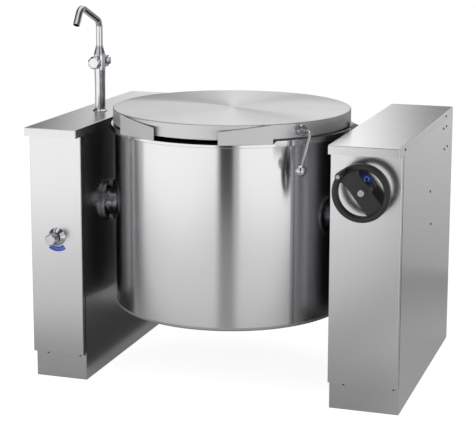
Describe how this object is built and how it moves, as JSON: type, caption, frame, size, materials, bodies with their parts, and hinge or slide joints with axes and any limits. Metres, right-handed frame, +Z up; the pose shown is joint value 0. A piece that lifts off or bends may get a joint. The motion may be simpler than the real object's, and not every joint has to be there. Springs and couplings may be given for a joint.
{
  "type": "tilting steam jacketed kettle",
  "caption": "Tilting steam jacketed kettle: a lidded round vessel on trunnions between two floor consoles, with a worm-geared handwheel, a mixer tap and a steam valve.",
  "frame": {"origin": "on the floor, midway between the two consoles and at half their depth", "axes": "+X from the left console to the right one along the tilting axis, +Y to the back, +Z up"},
  "size_m": [1.303, 1.122, 1.297],
  "materials": {
    "stainless": "satin",
    "polished": "polished",
    "shaft_steel": "turned",
    "frame_steel": "matt",
    "cast_iron": "cast",
    "bronze": "machined",
    "black_plastic": "satin",
    "seal_rubber": "matt",
    "mineral_wool": "fibrous"
  },
  "bodies": {
    "stand": {"left_cover": "stainless", "right_cover": "stainless", "left_wrap": "stainless", "right_wrap": "stainless", "left_front_panel": "stainless", "right_front_panel": "stainless", "left_plinth": "stainless", "right_plinth": "stainless", "left_frame": "frame_steel", "right_frame": "frame_steel", "left_bearing_housing": "cast_iron", "right_bearing_housing": "cast_iron", "left_bearing_bush": "shaft_steel", "right_bearing_bush": "shaft_steel", "housing_bolts": "polished", "worm_pillow_block_front": "cast_iron", "worm_pillow_block_rear": "cast_iron", "handwheel_bush": "black_plastic", "knob_escutcheon": "polished", "steam_valve": "bronze", "steam_supply_pipe": "stainless", "steam_feed_pipe": "stainless", "rotary_steam_joint": "bronze", "condensate_pipe": "stainless", "water_pipes": "stainless", "tap_base_ring": "polished", "tap_column": "polished", "spout_collar": "polished"},
    "kettle": {"inner_pot": "stainless", "steam_jacket": "stainless", "insulation": "mineral_wool", "cladding": "stainless", "bottom_pan": "stainless", "rim_ring": "stainless", "pour_lip_cheeks": "stainless", "rim_ear": "stainless", "left_trunnion": "shaft_steel", "right_trunnion": "shaft_steel", "siphon_tube": "stainless", "worm_wheel": "bronze", "wheel_key": "shaft_steel", "hinge_bracket": "stainless", "hinge_pin": "shaft_steel"},
    "lid": {"lid_skin": "stainless", "lid_inner_pan": "stainless", "lid_seal": "seal_rubber", "lid_hinge_arm": "stainless", "lever_boss": "polished"},
    "lid_lever": {"lever_rod": "polished", "lever_ball": "polished"},
    "worm": {"worm_shaft": "shaft_steel", "handwheel": "black_plastic", "handwheel_cap": "polished", "grip_pin": "polished"},
    "grip_sleeve": {"grip": "black_plastic"},
    "spout_pipe": {"spout": "polished"},
    "tap_front": {"tap_knob_front": "polished"},
    "tap_rear": {"tap_knob_rear": "polished"},
    "steam_control": {"steam_knob": "polished"}
  },
  "joints": [
    {"name": "kettle_tilt", "type": "hinge", "parent": "stand", "child": "kettle", "pos_m": [0, -0.205, 0.606], "axis": [1, 0, 0], "range_deg": [0, 90]},
    {"name": "handwheel_turn", "type": "hinge", "parent": "stand", "child": "worm", "pos_m": [0.5565, -0.205, 0.756], "axis": [0, 1, 0], "range_deg": [0, 5400]},
    {"name": "grip_spin", "type": "hinge", "parent": "worm", "child": "grip_sleeve", "pos_m": [0.50386, -0.56, 0.82338], "axis": [0, 1, 0], "continuous": true},
    {"name": "lid_hinge", "type": "hinge", "parent": "kettle", "child": "lid", "pos_m": [0, 0.321, 0.925], "axis": [-1, 0, 0], "range_deg": [0, 85]},
    {"name": "lid_lever_turn", "type": "hinge", "parent": "lid", "child": "lid_lever", "pos_m": [0.33804, -0.40665, 0.929], "axis": [-0.7683, 0.6401, 0], "range_deg": [0, 75]},
    {"name": "spout_swivel", "type": "hinge", "parent": "stand", "child": "spout_pipe", "pos_m": [-0.534, -0.049, 1.15], "axis": [0, 0, 1], "range_deg": [-90, 120]},
    {"name": "tap_front_turn", "type": "hinge", "parent": "stand", "child": "tap_front", "pos_m": [-0.534, -0.085, 1.081], "axis": [0, -1, 0], "range_deg": [0, 720]},
    {"name": "tap_rear_turn", "type": "hinge", "parent": "stand", "child": "tap_rear", "pos_m": [-0.534, -0.013, 1.081], "axis": [0, 1, 0], "range_deg": [0, 720]},
    {"name": "steam_knob_turn", "type": "hinge", "parent": "stand", "child": "steam_control", "pos_m": [-0.531, -0.47, 0.516], "axis": [0, -1, 0], "range_deg": [0, 270]}
  ],
  "couplings": [
    {"joint": "handwheel_turn", "follows": "kettle_tilt", "ratio": 60}
  ]
}
